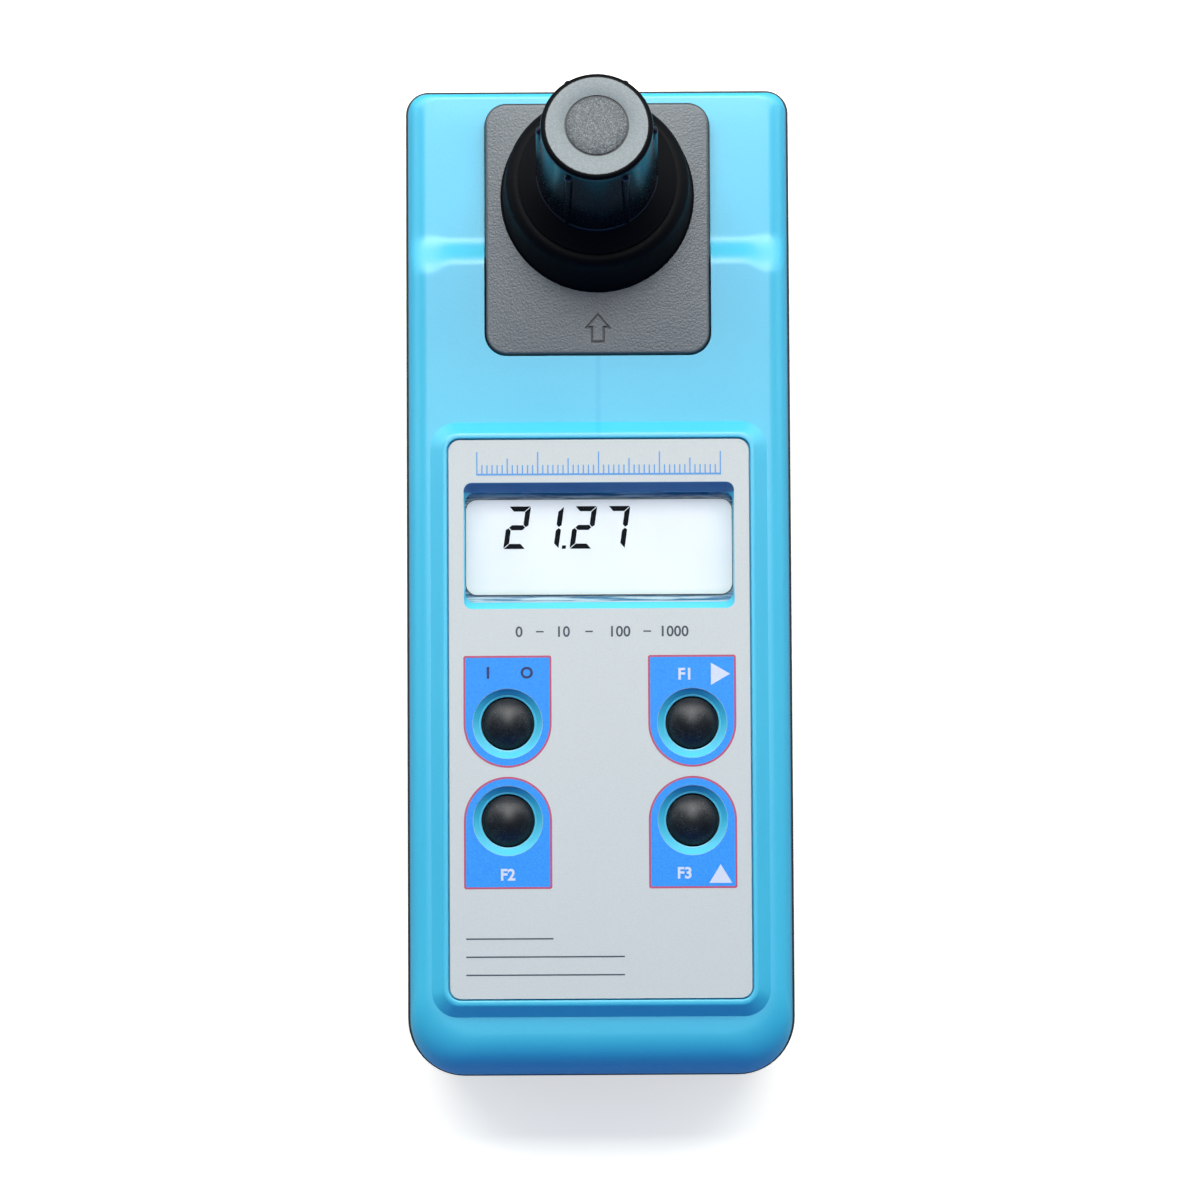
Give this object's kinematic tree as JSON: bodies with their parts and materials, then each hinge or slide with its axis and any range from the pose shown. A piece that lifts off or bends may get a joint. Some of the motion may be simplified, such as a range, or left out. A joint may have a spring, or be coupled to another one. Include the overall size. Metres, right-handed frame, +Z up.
{
  "type": "turbidity meter",
  "caption": "Hand-held turbidity meter with a sloping face, display, rubber keys and a well for a capped glass cuvette.",
  "frame": {"origin": "on the ground under the middle of the casing", "axes": "+Y along the casing towards the deep end with the cuvette, +X to the right across the face, +Z up"},
  "size_m": [0.083, 0.2183, 0.1035],
  "materials": {
    "casing_blue": "fine satin",
    "casing_black": "fine grain",
    "seam_rubber": "satin",
    "label_film": "printed satin film",
    "clear_pane": "clear",
    "plate_black": "leather grain",
    "well_black": "matt",
    "steel": "bright",
    "emitter": "tinted clear",
    "lens_glass": "clear",
    "sensor": "satin",
    "board_green": "solder mask",
    "display_glass": "reflective white",
    "frame_white": "satin",
    "contact_rubber": "matt",
    "chip_black": "matt",
    "crystal_can": "bright",
    "capacitor_sleeve": "gloss",
    "key_rubber": "matt",
    "pill_carbon": "matt",
    "battery_skin": "gloss",
    "lead_skin": "satin",
    "cable_grey": "satin",
    "foot_rubber": "matt",
    "vial_glass": "clear",
    "seal_ivory": "soft",
    "cap_black": "gloss"
  },
  "bodies": {
    "case": {"upper_shell": "casing_blue", "lower_shell": "casing_black", "case_gasket": "seam_rubber", "face_label": "label_film", "display_window": "clear_pane", "cell_plate": "plate_black", "cell_gasket": "seam_rubber", "cell_well": "well_black", "well_screws": "steel", "emitter_led": "emitter", "emitter_lens": "lens_glass", "photocell": "sensor", "optics_board": "board_green", "lcd_glass": "display_glass", "lcd_frame": "frame_white", "elastomer_strips": "contact_rubber", "main_board": "board_green", "microcontroller": "chip_black", "logic_chips": "chip_black", "clock_crystal": "crystal_can", "capacitors": "capacitor_sleeve", "board_screws": "steel", "keypad_mat": "key_rubber", "battery_1": "battery_skin", "battery_2": "battery_skin", "battery_3": "battery_skin", "battery_4": "battery_skin", "battery_springs": "steel", "battery_plates": "steel", "battery_leads": "lead_skin", "flat_cable": "cable_grey", "case_screws": "steel", "foot_pads": "foot_rubber"},
    "battery_cover": {"battery_cover": "casing_black"},
    "vial": {"cuvette": "vial_glass"},
    "seal": {"cap_seal": "seal_ivory"},
    "cap": {"cuvette_cap": "cap_black", "cap_insert": "cap_black"},
    "key_power": {"key_power": "key_rubber", "pill_power": "pill_carbon"},
    "key_scroll": {"key_scroll": "key_rubber", "pill_scroll": "pill_carbon"},
    "key_calibrate": {"key_calibrate": "key_rubber", "pill_calibrate": "pill_carbon"},
    "key_measure": {"key_measure": "key_rubber", "pill_measure": "pill_carbon"}
  },
  "joints": [
    {"name": "cuvette_lift", "type": "slide", "parent": "case", "child": "vial", "axis": [0, 0, 1], "range_m": [0, 0.075]},
    {"name": "cap_thread", "type": "slide", "parent": "vial", "child": "seal", "axis": [0, 0, 1], "range_m": [0, 0.009]},
    {"name": "cap_turn", "type": "hinge", "parent": "seal", "child": "cap", "pos_m": [0, 0.07268, 0.10353], "axis": [0, 0, 1], "range_deg": [0, 810]},
    {"name": "cover_swing", "type": "hinge", "parent": "case", "child": "battery_cover", "pos_m": [0, -0.01279, 0.001], "axis": [1, 0, 0], "range_deg": [0, 55]},
    {"name": "press_power", "type": "slide", "parent": "case", "child": "key_power", "axis": [0, 0.1822, -0.9833], "range_m": [0, 0.0008], "stiffness_N_per_m": 1200},
    {"name": "press_scroll", "type": "slide", "parent": "case", "child": "key_scroll", "axis": [0, 0.1822, -0.9833], "range_m": [0, 0.0008], "stiffness_N_per_m": 1200},
    {"name": "press_calibrate", "type": "slide", "parent": "case", "child": "key_calibrate", "axis": [0, 0.1822, -0.9833], "range_m": [0, 0.0008], "stiffness_N_per_m": 1200},
    {"name": "press_measure", "type": "slide", "parent": "case", "child": "key_measure", "axis": [0, 0.1822, -0.9833], "range_m": [0, 0.0008], "stiffness_N_per_m": 1200}
  ],
  "couplings": [
    {"joint": "cap_thread", "follows": "cap_turn", "m_per_rad": 0.00057296}
  ]
}
